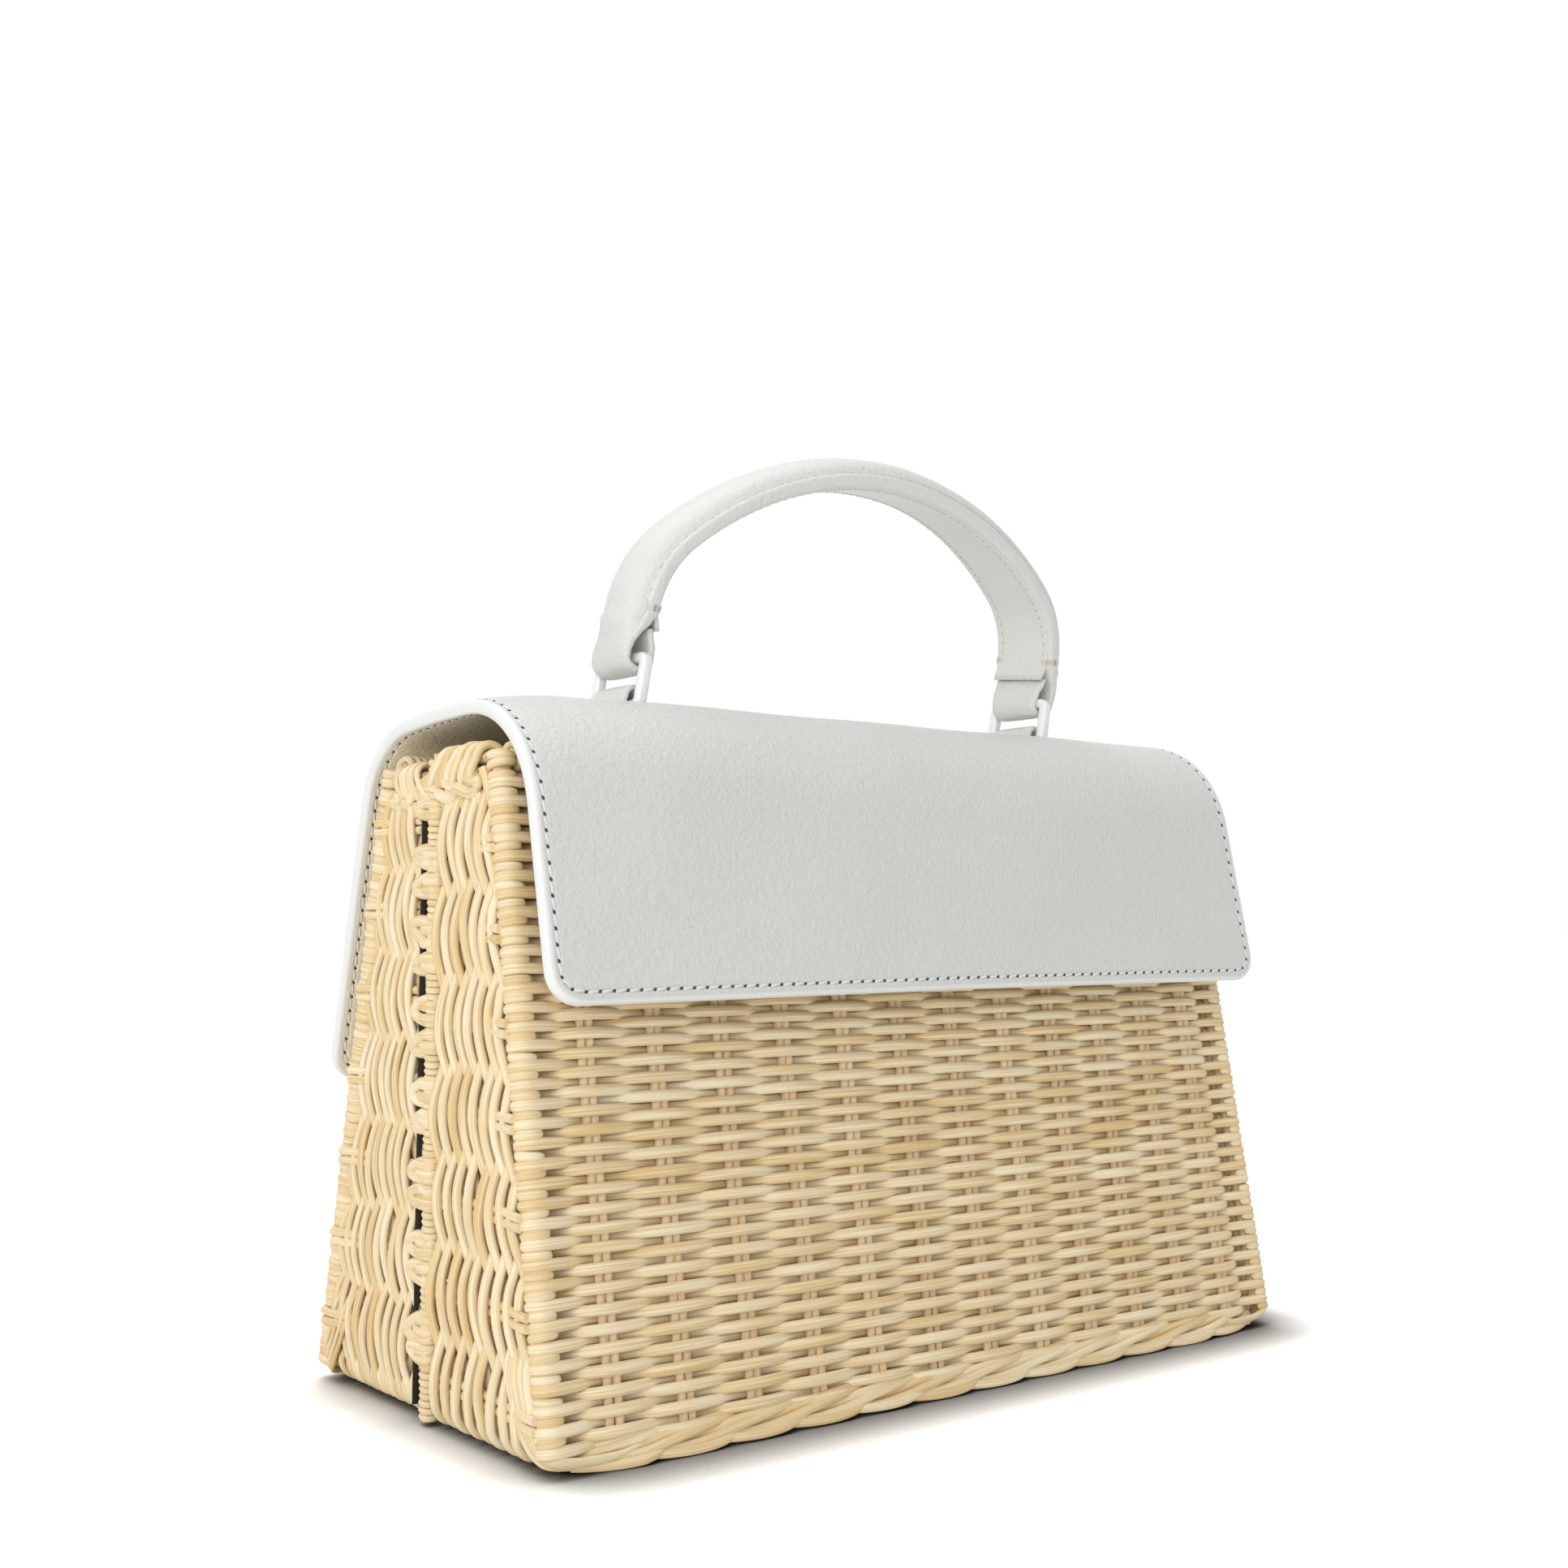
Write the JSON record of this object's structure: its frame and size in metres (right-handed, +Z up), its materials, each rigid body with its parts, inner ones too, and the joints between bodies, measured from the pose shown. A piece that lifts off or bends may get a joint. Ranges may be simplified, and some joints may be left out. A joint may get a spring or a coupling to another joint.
{
  "type": "top handle bag",
  "caption": "Woven reed basket bag in laced halves, with a folding leather flap cover and an arched leather handle that sways on rectangular rings.",
  "frame": {"origin": "middle of the footprint on the table", "axes": "+X to the right along the width as seen from the front, -Y the front, +Z up"},
  "size_m": [0.2966, 0.1408, 0.2954],
  "materials": {
    "woven_reed": "dry matt reed",
    "wrapped_reed": "dry matt reed",
    "white_leather": "fine grain, stitched, painted edges",
    "lining_leather": "smooth satin",
    "white_lacquer": "gloss",
    "snap_steel": "satin"
  },
  "bodies": {
    "basket": {"front_wall": "woven_reed", "rear_wall": "woven_reed", "front_left_gusset": "woven_reed", "front_right_gusset": "woven_reed", "rear_left_gusset": "woven_reed", "rear_right_gusset": "woven_reed", "front_base": "woven_reed", "rear_base": "woven_reed", "front_left_post": "wrapped_reed", "front_right_post": "wrapped_reed", "rear_left_post": "wrapped_reed", "rear_right_post": "wrapped_reed", "front_rim": "wrapped_reed", "rear_rim": "wrapped_reed", "front_left_rim": "wrapped_reed", "front_right_rim": "wrapped_reed", "rear_left_rim": "wrapped_reed", "rear_right_rim": "wrapped_reed", "front_border": "wrapped_reed", "rear_border": "wrapped_reed", "left_seam_rod": "wrapped_reed", "right_seam_rod": "wrapped_reed", "left_ties": "wrapped_reed", "right_ties": "wrapped_reed", "rear_cover": "white_leather", "snap_socket": "snap_steel"},
    "cover_flap": {"flap": "white_leather", "left_tab": "white_leather", "right_tab": "white_leather", "snap_magnet": "snap_steel"},
    "left_ring": {"left_ring": "white_lacquer"},
    "handle": {"handle_strap": "white_leather", "handle_lining": "lining_leather"},
    "right_ring": {"right_ring": "white_lacquer"}
  },
  "joints": [
    {"name": "flap_fold", "type": "hinge", "parent": "basket", "child": "cover_flap", "pos_m": [0, 0.04324, 0.17694], "axis": [-1, 0, 0], "range_deg": [0, 120]},
    {"name": "left_ring_sway", "type": "hinge", "parent": "cover_flap", "child": "left_ring", "pos_m": [-0.0869, -0.0062, 0.20451], "axis": [0, 1, 0], "range_deg": [-75, 55]},
    {"name": "handle_level", "type": "hinge", "parent": "left_ring", "child": "handle", "pos_m": [-0.08429, -0.0062, 0.21928], "axis": [0, 1, 0], "range_deg": [-55, 75]},
    {"name": "right_ring_sway", "type": "hinge", "parent": "cover_flap", "child": "right_ring", "pos_m": [0.0869, -0.0062, 0.20451], "axis": [0, 1, 0], "range_deg": [-75, 55]}
  ],
  "couplings": [
    {"joint": "handle_level", "follows": "left_ring_sway", "ratio": -1},
    {"joint": "right_ring_sway", "follows": "left_ring_sway", "ratio": 1}
  ]
}
